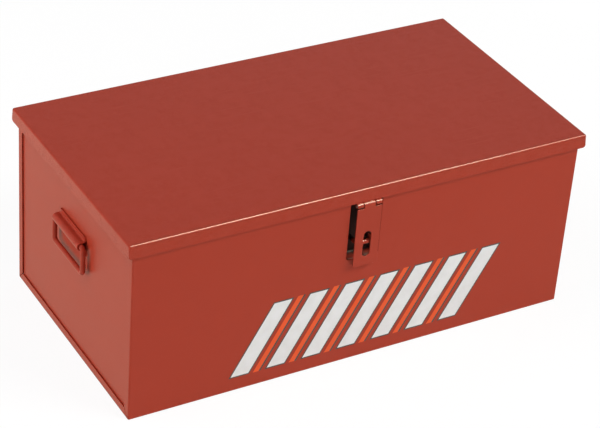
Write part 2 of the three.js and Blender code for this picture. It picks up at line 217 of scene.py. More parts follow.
chestRed = {"colour": (0.400, 0.041, 0.0195, 1), "thin": (0.425, 0.047, 0.0235, 1)}
enamelLook = {
    "bodyEnamel": {**chestRed, "gloss": 0.34, "edge": 0.2},
    "recessEnamel": {**chestRed, "gloss": 0.60, "edge": 0.2,
                     "paintedShadeFrom": -0.1885, "paintedShadeTo": -0.1820,   # painted shade, along Y, from the recess's mouth to its depth
                     "pocket": "lock_recess"},   # its outer skin, seen inside the chest, is painted as the rest
    # the staple deep in the pocket gets the same painted shade
    "stapleEnamel": {**chestRed, "gloss": 0.16, "edge": 0.5,
                     "paintedShadeFrom": -0.1960, "paintedShadeTo": -0.1900},
    "lidEnamel": {**chestRed, "gloss": 0.28, "edge": 0.15},
    "haspEnamel": {"colour": (0.395, 0.040, 0.0190, 1), "thin": (0.430, 0.049, 0.0250, 1),
                   "gloss": 0.31, "edge": 0.5},
    "handleEnamel": {"colour": (0.390, 0.039, 0.0190, 1), "thin": (0.430, 0.050, 0.0260, 1),
                     "gloss": 0.30, "edge": 0.5},
    # lighter along folds and cut edges: thinner, rubbed paint, and in part a painted highlight on the folds
    "edgeWearAndSheenColour": (0.47, 0.070, 0.042, 1),
    "edgeReach": 0.0012,
    "edgeRough": 0.06,
    "mottle": 0.45,
    "streaks": 0.04,
    "peelDepth": 0.00002,
    "specular": 0.2,
    # painted shade deep in the lock recess: its dark colour, how dark it gets at most, and how its edge wanders
    "paintedShade": (0.020, 0.012, 0.011, 1),
    "paintedShadeMost": 0.94, "paintedShadeCloud": 90, "paintedShadeDrift": 0.002,
}


def facesInto(tree, place, centre, blur=0.003):  # 1 on skin that looks towards a point, 0 where it looks away
    outward = addNode(tree, "VectorMath", operation="SUBTRACT")
    outward.inputs[1].default_value = centre
    looking = addNode(tree, "VectorMath", operation="DOT_PRODUCT")
    normal = addNode(tree, "TexCoord").outputs["Normal"]
    join(tree, (place, outward.inputs[0]), (outward.outputs["Vector"], looking.inputs[0]),
         (normal, looking.inputs[1]))
    return rangeNode(tree, looking.outputs["Value"], 0, -blur, 0, 1)


def makeEnamel(name):
    look, own = enamelLook, enamelLook[name]
    material, tree, shader, place = newMaterial(name)
    coat = addGroup(tree, paintFlow, place, Colour=own["colour"], Thin=own["thin"], Gloss=own["gloss"],
                    Mottle=look["mottle"], Streaks=look["streaks"])
    # the edge colour is worn paint and in part a painted highlight along the folds
    edge = addGroup(tree, cutEdge, place, Reach=look["edgeReach"])["Mask"]
    share = mathNode(tree, "MULTIPLY", edge, own["edge"])
    rough = mathNode(tree, "ADD", coat["Roughness"], mathNode(tree, "MULTIPLY", edge, look["edgeRough"]))
    bump = addNode(tree, "Bump", Strength=1, Distance=look["peelDepth"])
    colour = blendNode(tree, share, coat["Colour"], look["edgeWearAndSheenColour"])
    if "paintedShadeFrom" in own:   # painted shade: darker deeper in the pocket, standing in for the shade that falls there
        split = addNode(tree, "SeparateXYZ")
        tree.links.new(place, split.inputs[0])
        drift = look["paintedShadeDrift"]
        cloud = spreadNode(tree, noiseNode(tree, place, look["paintedShadeCloud"]), -drift, drift)
        depth = mathNode(tree, "ADD", split.outputs["Y"], cloud)
        shadeAmount = rangeNode(tree, depth, own["paintedShadeFrom"], own["paintedShadeTo"], 0, look["paintedShadeMost"])
        if "pocket" in own:
            low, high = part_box(own["pocket"])
            shadeAmount = mathNode(tree, "MULTIPLY", shadeAmount, facesInto(tree, place, (low + high) / 2))
        colour = blendNode(tree, shadeAmount, colour, look["paintedShade"])
    join(tree, (colour, shader.inputs["Base Color"]),
         (rough, shader.inputs["Roughness"]),
         (coat["Height"], bump.inputs["Height"]),
         (bump.outputs["Normal"], shader.inputs["Normal"]))
    shader.inputs["Specular IOR Level"].default_value = look["specular"]
    return material


steelLook = {
    "bright": (0.50, 0.48, 0.46, 1), "dull": (0.34, 0.32, 0.31, 1),
    "gloss": 0.32, "cloudRough": 0.12, "linesRough": (-0.04, 0.06),
    "cloud": 120, "dullFrom": 0.35, "dullTo": 0.65,
    "lines": (25, 2600, 2600),
    "drawn": 0.00001,   # depth of the lines
}


def makeSteel(name):  # drawn wire with a thin zinc coat: fine lines along it, and cloudy patches
    look = steelLook
    material, tree, shader, place = newMaterial(name)
    cloud = noiseNode(tree, place, look["cloud"], detail=4, rough=0.6)
    lines = noiseNode(tree, stretchNode(tree, place, look["lines"]), 1, detail=2)
    bump = addNode(tree, "Bump", Strength=1, Distance=look["drawn"])
    rough = mathNode(tree, "ADD", spreadNode(tree, cloud, look["gloss"], look["gloss"] + look["cloudRough"]),
                     spreadNode(tree, lines, *look["linesRough"]))
    dull = rangeNode(tree, cloud, look["dullFrom"], look["dullTo"], 0, 1)
    join(tree, (blendNode(tree, dull, look["bright"], look["dull"]), shader.inputs["Base Color"]),
         (rough, shader.inputs["Roughness"]),
         (lines, bump.inputs["Height"]),
         (bump.outputs["Normal"], shader.inputs["Normal"]))
    shader.inputs["Metallic"].default_value = 1
    return material


filmLook = {
    "bandWhite": {"ink": (0.86, 0.86, 0.85, 1), "faded": (0.80, 0.795, 0.78, 1)},
    "bandOrange": {"ink": (0.86, 0.098, 0.018, 1), "faded": (0.80, 0.110, 0.028, 1)},
    "bandGrey": {"ink": (0.060, 0.062, 0.058, 1), "faded": (0.085, 0.085, 0.080, 1)},
    "gloss": 0.36, "cloudRough": (-0.03, 0.05), "gritRough": (-0.02, 0.03),
    "cloud": 45, "grit": 900, "skin": 330,
    "fadeFrom": 0.4, "fadeTo": 0.7, "gritLeast": 0.6,
    "specular": 0.3,
    "telegraph": 0.00002,   # how much of the paint's skin shows through
}


def makeFilm(name):  # printed film that follows the paint's skin under it
    look, own = filmLook, filmLook[name]
    material, tree, shader, place = newMaterial(name)
    cloud = noiseNode(tree, place, look["cloud"], detail=5, rough=0.6)
    grit = noiseNode(tree, place, look["grit"], detail=2)
    skin = noiseNode(tree, place, look["skin"], detail=2)
    bump = addNode(tree, "Bump", Strength=1, Distance=look["telegraph"])
    fade = mathNode(tree, "MULTIPLY", rangeNode(tree, cloud, look["fadeFrom"], look["fadeTo"], 0, 1),
                    spreadNode(tree, grit, look["gritLeast"], 1))
    smoothest, roughest = (look["gloss"] + step for step in look["cloudRough"])
    rough = mathNode(tree, "ADD", spreadNode(tree, cloud, smoothest, roughest),
                     spreadNode(tree, grit, *look["gritRough"]))
    join(tree, (blendNode(tree, fade, own["ink"], own["faded"]), shader.inputs["Base Color"]),
         (rough, shader.inputs["Roughness"]),
         (skin, bump.inputs["Height"]),
         (bump.outputs["Normal"], shader.inputs["Normal"]))
    shader.inputs["Specular IOR Level"].default_value = look["specular"]
    return material


bodyEnamel, lidEnamel = makeEnamel("bodyEnamel"), makeEnamel("lidEnamel")
haspEnamel, handleEnamel = makeEnamel("haspEnamel"), makeEnamel("handleEnamel")
recessEnamel, stapleEnamel = makeEnamel("recessEnamel"), makeEnamel("stapleEnamel")
pinSteel = makeSteel("pinSteel")
bandGrey, bandWhite, bandOrange = makeFilm("bandGrey"), makeFilm("bandWhite"), makeFilm("bandOrange")
print("finishes mixed")


# Selecting, adding and finishing

def deselectAll():
    if bpy.context.object and bpy.context.object.mode != "OBJECT":
        bpy.ops.object.mode_set(mode="OBJECT")
    bpy.ops.object.select_all(action="DESELECT")


def selectOnly(piece):
    deselectAll()
    piece.select_set(True)
    bpy.context.view_layer.objects.active = piece


def applyPlace():  # a piece has its place in its mesh, and its object stays at the origin
    bpy.ops.object.transform_apply(location=True, rotation=True, scale=True)


def nameNew(name):
    piece = bpy.context.object
    piece.name = name
    piece.data.name = name
    return piece


def addBox(name, low, high):
    deselectAll()
    bpy.ops.mesh.primitive_cube_add(size=1, location=(low + high) / 2, scale=high - low)
    applyPlace()
    return nameNew(name)


def addSheetXZ(name, x0, x1, y, z0, z1):  # an upright flat sheet that faces the front
    deselectAll()
    centre = ((x0 + x1) / 2, y, (z0 + z1) / 2)
    bpy.ops.mesh.primitive_plane_add(size=1, location=centre, rotation=(pi / 2, 0, 0))
    bpy.context.object.scale = (x1 - x0, z1 - z0, 1)
    applyPlace()
    return nameNew(name)


def editing(piece):
    selectOnly(piece)
    bpy.ops.object.mode_set(mode="EDIT")


def pick(kind, test):
    bpy.ops.mesh.select_mode(type=kind)
    bpy.ops.mesh.select_all(action="DESELECT")
    meshData = bpy.context.object.data
    cage = bmesh.from_edit_mesh(meshData)
    chosen = [e for e in {"VERT": cage.verts, "EDGE": cage.edges, "FACE": cage.faces}[kind] if test(e)]
    for element in chosen:
        element.select_set(True)
    bmesh.update_edit_mesh(meshData)


def middle(edge):
    return (edge.verts[0].co + edge.verts[1].co) / 2


def runsAlong(edge, axis, least=0.999):
    way = (edge.verts[1].co - edge.verts[0].co).normalized()
    return abs(way[axis]) > least


def near(a, b, reach=0.00005):
    return abs(a - b) < reach


def isFold(edge):  # an edge where two faces meet at a clear angle
    return len(edge.link_faces) == 2 and edge.calc_face_angle() > sheetMetal["foldAngle"]


def bevelPicked(width, segments, affect="EDGES"):
    bpy.ops.mesh.bevel(offset=width, offset_type="OFFSET", segments=segments, profile=0.5, affect=affect)


def sliceAt(place, normal, **options):  # cuts through everything along a plane
    bpy.ops.mesh.select_all(action="SELECT")
    bpy.ops.mesh.bisect(plane_co=place, plane_no=normal, **options)


def mergeDoubles():
    bpy.ops.mesh.select_all(action="SELECT")
    bpy.ops.mesh.remove_doubles(threshold=sheetMetal["mergeReach"])


def extrudePicked(step):
    bpy.ops.mesh.extrude_edges_move(TRANSFORM_OT_translate={"value": step})


def spinPicked(steps, angle, centre, axis):  # the operator turns left-handed, so the angle is turned round
    bpy.ops.mesh.spin(steps=steps, angle=-angle, center=centre, axis=axis)


def faceOut(facing):  # turns the whole skin over if the face nearest to a point looks the wrong way
    bpy.ops.mesh.select_all(action="SELECT")
    bpy.ops.mesh.normals_make_consistent(inside=False)
    cage = bmesh.from_edit_mesh(bpy.context.object.data)
    place, normal = facing
    closest = min(cage.faces, key=lambda face: (face.calc_center_median() - place).length)
    if closest.normal.dot(normal) < 0:
        bpy.ops.mesh.flip_normals()


def applyModifier(piece, kind, **values):
    selectOnly(piece)
    modifier = piece.modifiers.new(kind.title(), kind)
    for key, value in values.items():
        setattr(modifier, key, value)
    bpy.ops.object.modifier_apply(modifier=modifier.name)


def thicken(piece, gauge):  # the modelled skin is the outside, and the metal lies behind it
    applyModifier(piece, "SOLIDIFY", thickness=gauge, offset=-1, use_even_offset=True)


def cutWith(piece, *cutters):
    for cutter in cutters:
        applyModifier(piece, "BOOLEAN", operation="DIFFERENCE", object=cutter, solver="EXACT")
        bpy.data.objects.remove(cutter)


def easeEdges(piece, width=sheetMetal["cutEdge"], segments=2):
    applyModifier(piece, "BEVEL", width=width, segments=segments, limit_method="ANGLE",
                  angle_limit=sheetMetal["easeAngle"], use_clamp_overlap=True)
    selectOnly(piece)
    bpy.ops.object.shade_smooth_by_angle(angle=sheetMetal["smoothAngle"])
    applyModifier(piece, "WEIGHTED_NORMAL", keep_sharp=True)   # flat faces stay flat beside their bends


def copyTurned(piece, name):  # the same piece at the other end, turned half round the upright axis
    selectOnly(piece)
    bpy.ops.object.duplicate()
    bpy.context.object.rotation_euler = (0, 0, pi)
    applyPlace()
    return nameNew(name)


# Folded sheet

lidLook = {"cornerRadius": 0.0045, "cornerSegments": 8, "bend": 0.003}


def makeLid():
    low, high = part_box("lid_pan")
    lid = addBox("lidShell", low, high)
    editing(lid)
    pick("FACE", lambda face: face.normal.z < -0.5)
    bpy.ops.mesh.delete(type="FACE")
    pick("EDGE", lambda edge: runsAlong(edge, 2))
    bpy.ops.mesh.edge_split(type="EDGE")
    pick("VERT", lambda vert: near(vert.co.z, low.z))
    bevelPicked(lidLook["cornerRadius"], lidLook["cornerSegments"], "VERTICES")
    mergeDoubles()
    pick("EDGE", isFold)
    bevelPicked(lidLook["bend"], sheetMetal["bendSegments"])
    faceOut((Vector((0, 0, high.z)), Vector((0, 0, 1))))
    thicken(lid, sheetMetal["gauge"])
    easeEdges(lid)
    return lid


bodyLook = {
    "returnWidth": 0.014,   # flange across each end
    "mouthFlange": 0.015,   # flange round the mouth
    "mitreSlit": 0.001,
    "mitreStart": 0.0006,   # from the bend to where the slit begins
    "windowCorner": 0.003, "windowSegments": 6,
    "cutterReach": 0.01,
}
recessLook = {
    "rim": 0.008,   # flange behind the front
    "rimBend": 0.001, "rimSegments": 3,
    "corner": 0.0045, "cornerSegments": 6,
}


def makeWindowCutter():  # the hole in the front that the lock recess stands behind
    low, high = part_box("lock_recess")
    rim = recessLook["rim"] + sheetMetal["gauge"]
    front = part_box("body_wrap")[0].y
    inset = Vector((rim, 0, rim))
    low, high = low + inset, high - inset
    low.y, high.y = front - bodyLook["cutterReach"], front + bodyLook["cutterReach"]
    cutter = addBox("windowCutter", low, high)
    editing(cutter)
    pick("EDGE", lambda edge: runsAlong(edge, 1))
    bevelPicked(bodyLook["windowCorner"], bodyLook["windowSegments"])
    deselectAll()
    return cutter


def makeMitreCutter(end, side):  # a thin blade at 45 degrees through a lower corner of an end
    low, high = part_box("body_wrap")
    look = bodyLook
    long = (look["returnWidth"] - sheetMetal["bend"]) * 2 ** 0.5 + look["cutterReach"]
    start = sheetMetal["bend"] + look["mitreStart"]
    corner = Vector((high.x * end, side * (high.y - start), start))
    deselectAll()
    bpy.ops.mesh.primitive_cube_add(size=1)
    blade = bpy.context.object
    blade.scale = (look["cutterReach"], long, look["mitreSlit"])
    blade.rotation_euler = (-side * pi / 4, 0, 0)
    blade.location = corner + Vector((0, -side * long, long)) / 2 ** 1.5   # half its length up the slope
    applyPlace()
    return nameNew("mitreCutter")


def makeBody():
    low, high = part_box("body_wrap")
    look = bodyLook
    body = addBox("bodyShell", low, high + Vector((0, 0, look["returnWidth"])))
    editing(body)
    pick("FACE", lambda face: face.normal.z > 0.5)
    bpy.ops.mesh.delete(type="FACE")
    pick("FACE", lambda face: abs(face.normal.x) > 0.5)
    bpy.ops.mesh.inset(thickness=look["returnWidth"], use_individual=True, use_boundary=True)
    bpy.ops.mesh.delete(type="FACE")
    sliceAt((0, 0, high.z), (0, 0, 1), clear_outer=True)
    for y, inwards in ((low.y, 1), (high.y, -1)):
        pick("EDGE", lambda edge: runsAlong(edge, 0) and near(middle(edge).z, high.z) and near(middle(edge).y, y))
        extrudePicked((0, inwards * look["mouthFlange"], 0))
    pick("EDGE", isFold)
    bevelPicked(sheetMetal["bend"], sheetMetal["bendSegments"])
    faceOut((Vector((0, low.y, high.z / 2)), Vector((0, -1, 0))))
    thicken(body, sheetMetal["gauge"])
    blades = [makeMitreCutter(end, side) for end in (-1, 1) for side in (-1, 1)]
    cutWith(body, makeWindowCutter(), *blades)
    easeEdges(body)
    return body


def makeEndPanel():
    low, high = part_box("left_end_pan")
    panel = addBox("leftEndPanel", low, high)
    editing(panel)
    pick("FACE", lambda face: face.normal.x > 0.5)
    bpy.ops.mesh.delete(type="FACE")
    pick("EDGE", isFold)
    bevelPicked(sheetMetal["bend"], sheetMetal["bendSegments"])
    thicken(panel, sheetMetal["gauge"])
    easeEdges(panel)
    return panel


def makeRecess():
    low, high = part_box("lock_recess")
    look = recessLook
    rim = Vector((look["rim"], 0, look["rim"]))
    mouth = low.y + sheetMetal["gauge"]
    recess = addBox("lockRecess", Vector((low.x, mouth, low.z)) + rim, high - rim)
    editing(recess)
    pick("FACE", lambda face: face.normal.y < -0.5)
    bpy.ops.mesh.delete(type="FACE")
    pick("EDGE", isFold)
    bevelPicked(look["corner"], look["cornerSegments"])
    pick("EDGE", lambda edge: edge.is_boundary)
    bpy.ops.mesh.extrude_edges_move()
    half, centre = (high - low) / 2, (low + high) / 2
    grow = (half.x / (half.x - look["rim"]), 1, half.z / (half.z - look["rim"]))
    bpy.ops.transform.resize(value=grow, center_override=centre)
    pick("EDGE", lambda edge: isFold(edge) and near(middle(edge).y, mouth))
    bevelPicked(look["rimBend"], look["rimSegments"])
    faceOut((Vector((0, high.y, centre.z)), Vector((0, 1, 0))))
    thicken(recess, sheetMetal["gauge"])
    easeEdges(recess)
    return recess


# Rolled hinge leaves: a flat leaf whose knuckles are curled round the pin

rollLook = {"curl": radians(300), "curlSteps": 20, "pinClearance": 0.0001, "cornerSegments": 6}


def makeRolledLeaf(name, node, pin, skinY, farZ, notchZ, knuckles, barrel, pinRadius, cornerRadius=0):
    low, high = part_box(node)
    leaf = addSheetXZ(name, low.x, high.x, skinY, min(farZ, notchZ), max(farZ, notchZ))
    editing(leaf)
    if cornerRadius:
        pick("VERT", lambda vert: near(vert.co.z, farZ))
        bevelPicked(cornerRadius, rollLook["cornerSegments"], "VERTICES")
    for cut in sorted({x for span in knuckles for x in span}):
        sliceAt((cut, 0, 0), (1, 0, 0))
    pick("EDGE", lambda edge: near(middle(edge).z, notchZ)
         and any(x0 < middle(edge).x < x1 for x0, x1 in knuckles))
    extrudePicked((0, 0, pin.z - notchZ))
    rise = 1 if pin.z > notchZ else -1
    side = 1 if skinY < pin.y else -1
    spinPicked(rollLook["curlSteps"], -rise * side * rollLook["curl"], (0, pin.y, pin.z), (1, 0, 0))
    faceOut((Vector((0, skinY, (farZ + notchZ) / 2)), Vector((0, -side, 0))))
    thicken(leaf, barrel - pinRadius - rollLook["pinClearance"])
    return leaf


hingeLook = {"knuckles": 15, "gap": 0.0006, "notch": 0.0007}   # the hasp has the same notch


def lidHingeKnuckles(first):
    low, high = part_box("hinge_body_leaf")
    gap = hingeLook["gap"]
    start, length = low.x - gap / 2, high.x - low.x + gap
    pitch = length / hingeLook["knuckles"]
    places = [start + i * pitch for i in range(first, hingeLook["knuckles"], 2)]
    return [(x + gap / 2, x + pitch - gap / 2) for x in places]


def makeLidHingeLeaf(name, node, first):
    low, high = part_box(node)
    pin = jointPlace["lid_hinge"]
    barrel = high.y - pin.y
    pinRadius = (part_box("hinge_pin")[1].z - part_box("hinge_pin")[0].z) / 2
    above = high.z > pin.z + 2 * barrel
    farZ = high.z if above else low.z
    notchZ = pin.z + (barrel + hingeLook["notch"]) * (1 if above else -1)
    leaf = makeRolledLeaf(name, node, pin, low.y, farZ, notchZ, lidHingeKnuckles(first), barrel, pinRadius)
    easeEdges(leaf)
    return leaf


haspLook = {
    "centreShare": 0.45,       # of the width, which the strap's one knuckle takes
    "gap": 0.0015,             # between one knuckle and the next
    "corner": 0.004,
    "slotWidth": 0.0127, "slotHeight": 0.043, "slotFoot": 0.0155,
    "slotRound": 0.995, "slotSegments": 10,   # how round its ends are: 1 would leave no straight at all
    "edge": 0.0004, "edgeSegments": 3,
}


def haspSizes():  # the strap's lowest corner, then what strap and leaf share
    low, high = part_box("hasp_strap")
    pin = jointPlace["hasp_swing"]
    barrel = pin.y - low.y
    pinRadius = (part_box("hasp_pin")[1].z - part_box("hasp_pin")[0].z) / 2
    middleHalf = (high.x - low.x) * haspLook["centreShare"] / 2
    return low, pin, barrel, pinRadius, middleHalf


def makeStrap():
    low, pin, barrel, pinRadius, middleHalf = haspSizes()
    notchZ = pin.z - barrel - hingeLook["notch"]
    strap = makeRolledLeaf("haspStrap", "hasp_strap", pin, low.y, low.z, notchZ,
                           [(-middleHalf, middleHalf)], barrel, pinRadius, haspLook["corner"])
    foot = low.z + haspLook["slotFoot"]
    half, reach = haspLook["slotWidth"] / 2, bodyLook["cutterReach"]
    cutter = addBox("slotCutter", Vector((-half, low.y - reach, foot)),
                    Vector((half, low.y + reach, foot + haspLook["slotHeight"])))
    editing(cutter)
    pick("EDGE", lambda edge: runsAlong(edge, 1))
    bevelPicked(half * haspLook["slotRound"], haspLook["slotSegments"])
    deselectAll()
    cutWith(strap, cutter)
    easeEdges(strap, haspLook["edge"], haspLook["edgeSegments"])
    return strap


def makeHaspLeaf():
    pin, barrel, pinRadius, middleHalf = haspSizes()[1:]
    low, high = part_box("hasp_leaf")
    inner = middleHalf + haspLook["gap"]
    leaf = makeRolledLeaf("haspLeaf", "hasp_leaf", pin, high.y, high.z, pin.z + barrel + hingeLook["notch"],
                          [(low.x, -inner), (inner, high.x)], barrel, pinRadius)
    easeEdges(leaf)
    return leaf


pinLook = {"sides": 32, "endEase": 0.0005, "endSegments": 3}


def makePin(name, node):
    low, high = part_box(node)
    deselectAll()
    bpy.ops.mesh.primitive_cylinder_add(vertices=pinLook["sides"], radius=(high.z - low.z) / 2,
                                        depth=high.x - low.x, location=(low + high) / 2,
                                        rotation=(0, pi / 2, 0))
    applyPlace()
    pinPiece = nameNew(name)
    easeEdges(pinPiece, pinLook["endEase"], pinLook["endSegments"])
    return pinPiece


# Bent rods: a ring of points carried straight and round, as rod is bent

rodLook = {"sides": 28, "bendSteps": 10, "endEase": 0.0006, "endSegments": 3}


def makeBentRod(name, radius, start, route):  # both rods set off along Y
    deselectAll()
    bpy.ops.mesh.primitive_circle_add(vertices=rodLook["sides"], radius=radius, location=start,
                                      rotation=(pi / 2, 0, 0))
    applyPlace()
    rod = nameNew(name)
    editing(rod)
    bpy.ops.mesh.select_all(action="SELECT")
    for move in route:
        if move[0] == "straight":
            extrudePicked(move[1])
        else:
            spinPicked(rodLook["bendSteps"], move[3], move[1], move[2])
    pick("EDGE", lambda edge: edge.is_boundary)
    bpy.ops.mesh.fill_holes(sides=0)
    mergeDoubles()
    bpy.ops.mesh.normals_make_consistent(inside=False)
    easeEdges(rod, rodLook["endEase"], rodLook["endSegments"])
    return rod


bailLook = {"rod": 0.008, "bend": 0.006, "endGap": 0.004}


def makeBail():
    low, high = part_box("left_handle_bail")
    pivot = jointPlace["left_bail_swing"]
    radius, bend = bailLook["rod"] / 2, bailLook["bend"]
    half, grip, x = high.y - radius, low.z + radius, pivot.x
    along, down = half - bend - bailLook["endGap"] / 2, pivot.z - grip - 2 * bend
    quarter, sideways = pi / 2, (1, 0, 0)
    route = [
        ("straight", (0, -along, 0)),
        ("bend", (x, bend - half, pivot.z - bend), sideways, quarter),
        ("straight", (0, 0, -down)),
        ("bend", (x, bend - half, grip + bend), sideways, quarter),
        ("straight", (0, 2 * (half - bend), 0)),
        ("bend", (x, half - bend, grip + bend), sideways, quarter),
        ("straight", (0, 0, down)),
        ("bend", (x, half - bend, pivot.z - bend), sideways, quarter),
        ("straight", (0, -along, 0)),
    ]
    return makeBentRod("leftBail", radius, (x, -bailLook["endGap"] / 2, pivot.z), route)


stapleLook = {"rod": 0.007, "bend": 0.0095}


def makeStaple():
    low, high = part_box("lock_staple")
    radius, bend = stapleLook["rod"] / 2, stapleLook["bend"]
    z, leg, bar = (low.z + high.z) / 2, high.x - radius, low.y + radius
    straight = high.y - bar - bend
    upright, quarter = (0, 0, 1), pi / 2
    route = [
        ("straight", (0, -straight, 0)),
        ("bend", (bend - leg, bar + bend, z), upright, quarter),
        ("straight", (2 * (leg - bend), 0, 0)),
        ("bend", (leg - bend, bar + bend, z), upright, quarter),
        ("straight", (0, straight, 0)),
    ]
    return makeBentRod("lockStaple", radius, (-leg, high.y, z), route)


bracketLook = {
    "plate": 0.0025,
    "root": 0.002, "steps": 8,   # the bend at the tunnel's foot, and how many steps a half circle of it takes
    "corner": 0.003, "cornerSegments": 5,
    "edge": 0.0004, "edgeSegments": 3,
}


def makeBracket():  # one strip of plate, pressed out into a tunnel round the bail's two ends
    low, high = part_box("left_handle_bracket")
    pivot = jointPlace["left_bail_swing"]
    look = bracketLook
    front, outer = high.x - look["plate"], pivot.x - low.x
    rootX, rootZ = front - look["root"], outer + look["root"]
    top, width = high.z - pivot.z - rootZ, high.y - low.y
    deselectAll()
    bpy.ops.mesh.primitive_plane_add(size=1, location=(front, 0, high.z - top / 2), rotation=(0, pi / 2, 0))
    bpy.context.object.scale = (top, width, 1)
    applyPlace()
    bracket = nameNew("leftBracket")
    editing(bracket)
    pick("EDGE", lambda edge: near(middle(edge).z, pivot.z + rootZ))
    quarter, sideways = pi / 2, (0, 1, 0)
    spinPicked(look["steps"] // 2, quarter, (rootX, 0, pivot.z + rootZ), sideways)
    extrudePicked((pivot.x - rootX, 0, 0))
    spinPicked(look["steps"] * 2, -2 * quarter, pivot, sideways)
    extrudePicked((rootX - pivot.x, 0, 0))
    spinPicked(look["steps"] // 2, quarter, (rootX, 0, pivot.z - rootZ), sideways)
    extrudePicked((0, 0, low.z - pivot.z + rootZ))
    mergeDoubles()
    pick("VERT", lambda vert: near(vert.co.z, high.z) or near(vert.co.z, low.z))
    bevelPicked(look["corner"], look["cornerSegments"], "VERTICES")
    faceOut((Vector((front, 0, high.z)), Vector((-1, 0, 0))))
    thicken(bracket, look["plate"])
    easeEdges(bracket, look["edge"], look["edgeSegments"])
    return bracket


# Printed band on the front: plain leaning bars, each a thin film of its own

bandLook = {
    "left": -0.212, "foot": 0.024, "height": 0.118,
    "lean": radians(30),      # from upright
    "bars": 7, "pitch": 0.06,
    "wideBar": 0.034, "gap": 0.0065, "slimBar": 0.0125,
    "outline": 0.002, "shade": 0.0032,   # both grey: round a wide bar, and along one side of a slim one
    "film": 0.00012,
}


def makeBand():
    look = bandLook
    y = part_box("body_wrap")[0].y - look["film"]
    slope = tan(look["lean"])
    barsLong = (look["bars"] - 1) * look["pitch"] + look["wideBar"]
    band = addSheetXZ("frontBand", look["left"], look["left"] + barsLong + look["height"] * slope, y,
                      look["foot"], look["foot"] + look["height"])
    slimStart = look["wideBar"] + look["gap"]
    slimEnd = slimStart + look["slimBar"]

    def along(face):  # how far along the band's foot a face lies
        centre = face.calc_center_median()
        return centre.x - look["left"] - (centre.z - look["foot"]) * slope

    def isWide(face):
        return 0 < along(face) < barsLong and along(face) % look["pitch"] < look["wideBar"]

    def isSlim(face, end=slimEnd):
        return 0 < along(face) < barsLong and slimStart < along(face) % look["pitch"] < end

    def cutAt(place):
        bpy.ops.mesh.bisect(plane_co=(look["left"] + place, y, look["foot"]),
                            plane_no=(cos(look["lean"]), 0, -sin(look["lean"])))

    editing(band)
    for bar in range(look["bars"]):
        for step in (0, look["wideBar"], slimStart, slimEnd):
            bpy.ops.mesh.select_all(action="SELECT")
            cutAt(bar * look["pitch"] + step)
    pick("FACE", lambda face: not isWide(face) and not isSlim(face))
    bpy.ops.mesh.delete(type="FACE")
    for bar in range(look["bars"] - 1):
        first = bar * look["pitch"]
        pick("FACE", lambda face: first < along(face) < first + look["pitch"] and isSlim(face))
        cutAt(first + slimEnd - look["shade"])
    for material in (bandGrey, bandWhite, bandOrange):
        band.data.materials.append(material)
    pick("FACE", isWide)
    bpy.ops.mesh.inset(thickness=look["outline"], use_individual=True)
    band.active_material_index = 1
    bpy.ops.object.material_slot_assign()
    pick("FACE", lambda face: isSlim(face, slimEnd - look["shade"]))
    band.active_material_index = 2
    bpy.ops.object.material_slot_assign()
    thicken(band, look["film"])
    return band


# Weld beads under the hinge leaf: one rippled bead, copied along it

beadLook = {
    "count": 12, "long": 0.019, "ripples": 10, "radius": 0.0014, "swell": 1.16, "endShare": 0.55, "sides": 14,
    "edge": 0.03,   # from the leaf's end to the first bead's middle
}


def makeBeads():
    low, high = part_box("hinge_body_leaf")
    look = beadLook
    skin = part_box("body_wrap")[1].y
    first, last = low.x + look["edge"], high.x - look["edge"]
    centre = Vector((first, skin + look["radius"] / 2, low.z))
    deselectAll()
    bpy.ops.mesh.primitive_cylinder_add(vertices=look["sides"], radius=look["radius"], depth=look["long"],
                                        location=centre, rotation=(0, pi / 2, 0))
    applyPlace()
    bead = nameNew("hingeWelds")
    editing(bead)
    slices = [first - look["long"] / 2 + look["long"] * i / (2 * look["ripples"])
              for i in range(1, 2 * look["ripples"])]
    for x in slices:
        sliceAt((x, 0, 0), (1, 0, 0))
    pick("VERT", lambda vert: any(near(vert.co.x, x) for x in slices[::2]))
    bpy.ops.transform.resize(value=(1, look["swell"], look["swell"]), center_override=centre)
    pick("VERT", lambda vert: near(abs(vert.co.x - first), look["long"] / 2))
    bpy.ops.transform.resize(value=(1, look["endShare"], look["endShare"]), center_override=centre)
    applyModifier(bead, "SUBSURF", levels=1, render_levels=1)
    step = (last - first) / (look["count"] - 1)
    beads = [bead]
    for i in range(1, look["count"]):
        selectOnly(bead)
        bpy.ops.object.duplicate_move(TRANSFORM_OT_translate={"value": (step * i, 0, 0)})
        applyPlace()
        beads.append(bpy.context.object)
    deselectAll()
    for piece in beads:
        piece.select_set(True)
    bpy.context.view_layer.objects.active = bead
    bpy.ops.object.join()
    bpy.ops.object.shade_smooth()
    return bead


lid = makeLid()
body = makeBody()
print("lid and body folded")
leftPanel = makeEndPanel()
rightPanel = copyTurned(leftPanel, "rightEndPanel")
recess = makeRecess()
print("end panels and lock recess folded")
bodyLeaf = makeLidHingeLeaf("hingeBodyLeaf", "hinge_body_leaf", 0)
lidLeaf = makeLidHingeLeaf("hingeLidLeaf", "hinge_lid_leaf", 1)
strap = makeStrap()
haspLeaf = makeHaspLeaf()
hingePin = makePin("hingePin", "hinge_pin")
haspPin = makePin("haspPin", "hasp_pin")
print("hinge and hasp rolled")
staple = makeStaple()
leftBail = makeBail()
rightBail = copyTurned(leftBail, "rightBail")
leftBracket = makeBracket()
rightBracket = copyTurned(leftBracket, "rightBracket")
print("staple, bails and brackets bent")
band = makeBand()
beads = makeBeads()
print("band printed and beads laid")


# Which body each piece rides on, what it stands for, and its finish

